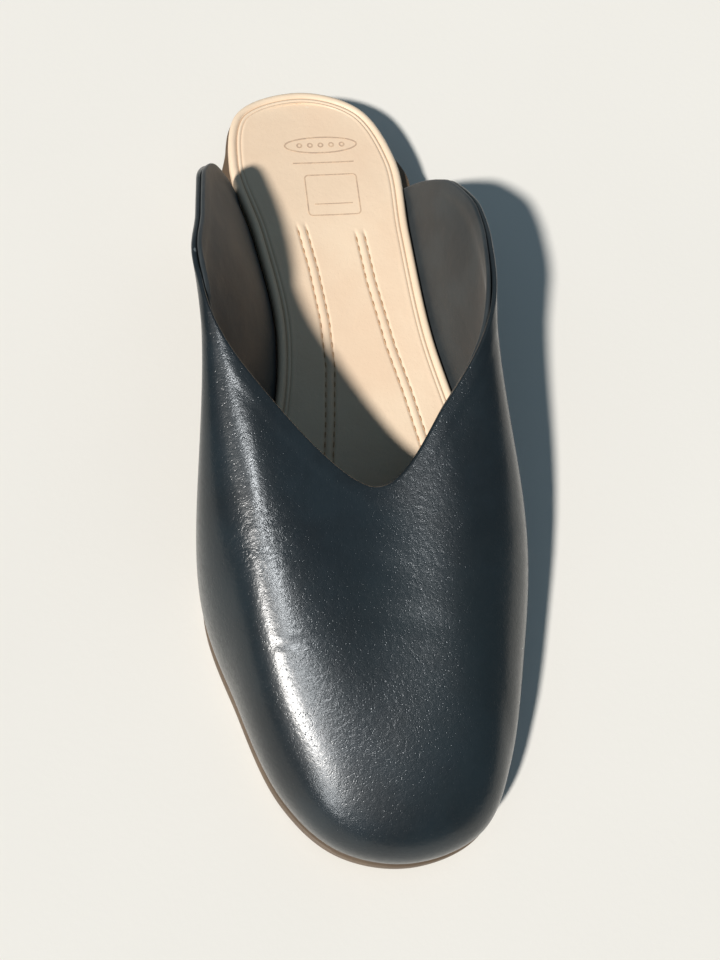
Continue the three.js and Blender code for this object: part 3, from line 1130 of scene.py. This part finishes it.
def rubber_material():
    m = Nodes("black_heel_rubber")
    fine = m.noise(1800, 3, 0.6)
    speck = m.cells(900)
    tone = m.mix(m.ramp(fine, 0.3, 0.7), linear(24, 24, 25), linear(34, 34, 34))
    tone = m.mix(m.times(m.edge_wear_and_highlight(), 0.5), tone, linear(66, 66, 64))
    m.bumps((fine, 0.00007), (speck, 0.00004))
    return m.set(color=tone, rough=m.ramp(fine, 0.3, 0.7, 0.68, 0.82))


def thread_material():
    m = Nodes("tan_thread")
    twist = m.noise(1.0, 2, 0.5, place=m.stretch((2600, 5200, 2600), turn=(0, 0, 0.7)))
    tone = m.mix(m.ramp(twist, 0.35, 0.65), linear(170, 131, 96), linear(206, 170, 132))
    m.bumps((twist, 0.00006))
    return m.set(color=tone, rough=m.ramp(twist, 0.3, 0.7, 0.6, 0.75))


def print_material():
    m = Nodes("faded_stamp")
    wear = m.noise(420, 4, 0.7)
    tone = m.mix(m.ramp(wear, 0.38, 0.6), linear(222, 192, 161), linear(198, 170, 146))
    m.bumps((m.noise(900, 4), 0.00004))
    return m.set(color=tone, rough=m.ramp(wear, 0.3, 0.7, 0.45, 0.6))


FINISHES = [
    # piece, material, slot, CAD node that it replaces
    (leather, upper_material(), "upper_leather", "upper"),
    (lining, lining_material(), "lining", None),
    (footbed_piece, footbed_material(), "footbed", "insole"),
    (stitches, thread_material(), "thread", None),
    (mark, print_material(), "footbed", None),
    (sole_piece, outsole_material(), "outsole", "outsole"),
    (stack, stack_material(), "heel", "heel"),
    (cap, rubber_material(), "heel_tip", "heel_tip"),
]
for piece, material, slot, node in FINISHES:
    piece.data.materials.clear()
    piece.data.materials.append(material)
    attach(piece, "root")
    if node:
        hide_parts(node)

# ---------------------------------------------------------------- studio

FLOOR_HALF = 3.0
SHOE_MIDDLE = Vector((0.0, 0.0, 0.03))
WARM = (1.0, 0.965, 0.925)
COOL = (0.95, 0.98, 1.0)
SKY = (0.52, 0.78, 1.0, 1.0)
SKY_STRENGTH = 0.145

# The camera looks down on the shoe from in front of its toe, on its inner side. In metres.
CAMERA_AT = Vector((-0.0671, -0.1698, 0.4095))
CAMERA_AIM = Vector((0.0002, -0.0164, 0.025))
CAMERA_ROLL = math.radians(18.0)


def studio_floor():
    h = FLOOR_HALF
    mesh = bpy.data.meshes.new("studio_floor")
    corners = [(-h, -h, 0), (h, -h, 0), (h, h, 0), (-h, h, 0)]
    mesh.from_pydata(corners, [], [(0, 1, 2, 3)])
    floor = bpy.data.objects.new("studio_floor", mesh)
    bpy.context.scene.collection.objects.link(floor)
    m = Nodes("pale_floor")
    tone = m.mix(m.ramp(m.noise(6, 3), 0.3, 0.7), linear(240, 237, 230), linear(242, 239, 232))
    m.bumps((m.noise(500, 3), 0.00003))
    mesh.materials.append(m.set(color=tone, rough=0.85, specular=0.2))
    return floor


studio_floor()


def area_light(name, toward, distance, power, colour, size, length=None, along=(0.0, 1.0, 0.0)):
    """A light at this distance from the middle of the shoe, in the direction `toward`.
    It is a square, or a strip of this length that lies along a direction."""
    data = bpy.data.lights.new(name, "AREA")
    data.shape = "RECTANGLE"
    data.size = size
    data.size_y = length or size
    data.energy = power
    data.color = colour
    light = bpy.data.objects.new(name, data)
    bpy.context.scene.collection.objects.link(light)
    back = Vector(toward).normalized()
    side = Vector(along).cross(back).normalized()
    light.location = SHOE_MIDDLE + back * distance
    light.rotation_mode = "QUATERNION"
    light.rotation_quaternion = Matrix((side, back.cross(side), back)).transposed().to_quaternion()
    return light


def sun_light(name, toward, spread, strength, colour):
    """An even light from the direction `toward`, its disc `spread` degrees across."""
    data = bpy.data.lights.new(name, "SUN")
    data.angle = math.radians(spread)
    data.energy = strength
    data.color = colour
    light = bpy.data.objects.new(name, data)
    bpy.context.scene.collection.objects.link(light)
    light.rotation_mode = "QUATERNION"
    light.rotation_quaternion = Vector(toward).to_track_quat("Z", "Y")
    return light


sun_light("key", toward=(-0.485, -0.469, 0.738), spread=4.0, strength=3.85, colour=WARM)
area_light(
    "fill", toward=(0.7, 0.5, 0.9), distance=1.6, power=0.6, colour=(0.85, 0.93, 1.0), size=1.4
)
# two reflectors that draw the streak along the inner side of the vamp, and light nothing else
streak = area_light(
    "streak",
    toward=(-0.33, -0.60, 0.73),
    distance=1.4,
    power=20.0,
    colour=COOL,
    size=0.14,
    length=1.7,
    along=(0.52, 0.62, 0.59),
)
crown = area_light(
    "crown", toward=(-0.06, -0.23, 0.97), distance=1.4, power=8.5, colour=COOL, size=0.2
)
vamp_only = bpy.data.collections.new("vamp_only")
vamp_only.objects.link(leather)
for light in (streak, crown):
    light.light_linking.receiver_collection = vamp_only

world = bpy.data.worlds.new("studio")
world.use_nodes = True
tree = world.node_tree
sky = tree.nodes["Background"]
sky.inputs["Color"].default_value = SKY
sky.inputs["Strength"].default_value = SKY_STRENGTH
# behind the floor's edge stands a plain pale backdrop
backdrop = tree.nodes.new("ShaderNodeBackground")
backdrop.inputs["Color"].default_value = linear(238, 236, 230)
path = tree.nodes.new("ShaderNodeLightPath")
blend = tree.nodes.new("ShaderNodeMixShader")
tree.links.new(path.outputs["Is Camera Ray"], blend.inputs[0])
tree.links.new(sky.outputs[0], blend.inputs[1])
tree.links.new(backdrop.outputs[0], blend.inputs[2])
tree.links.new(blend.outputs[0], tree.nodes["World Output"].inputs["Surface"])
bpy.context.scene.world = world
bpy.context.scene.view_settings.view_transform = "Standard"

camera_data = bpy.data.cameras.new("camera")
camera_data.sensor_width = 36.0
camera_data.lens = 55.0
camera_data.clip_start = 0.01
camera = bpy.data.objects.new("camera", camera_data)
bpy.context.scene.collection.objects.link(camera)
camera.location = CAMERA_AT + Vector(TO_ROW * MM)
look = CAMERA_AIM - CAMERA_AT
camera.rotation_mode = "QUATERNION"
camera.rotation_quaternion = look.to_track_quat("-Z", "Y") @ Quaternion((0, 0, 1), CAMERA_ROLL)
bpy.context.scene.camera = camera
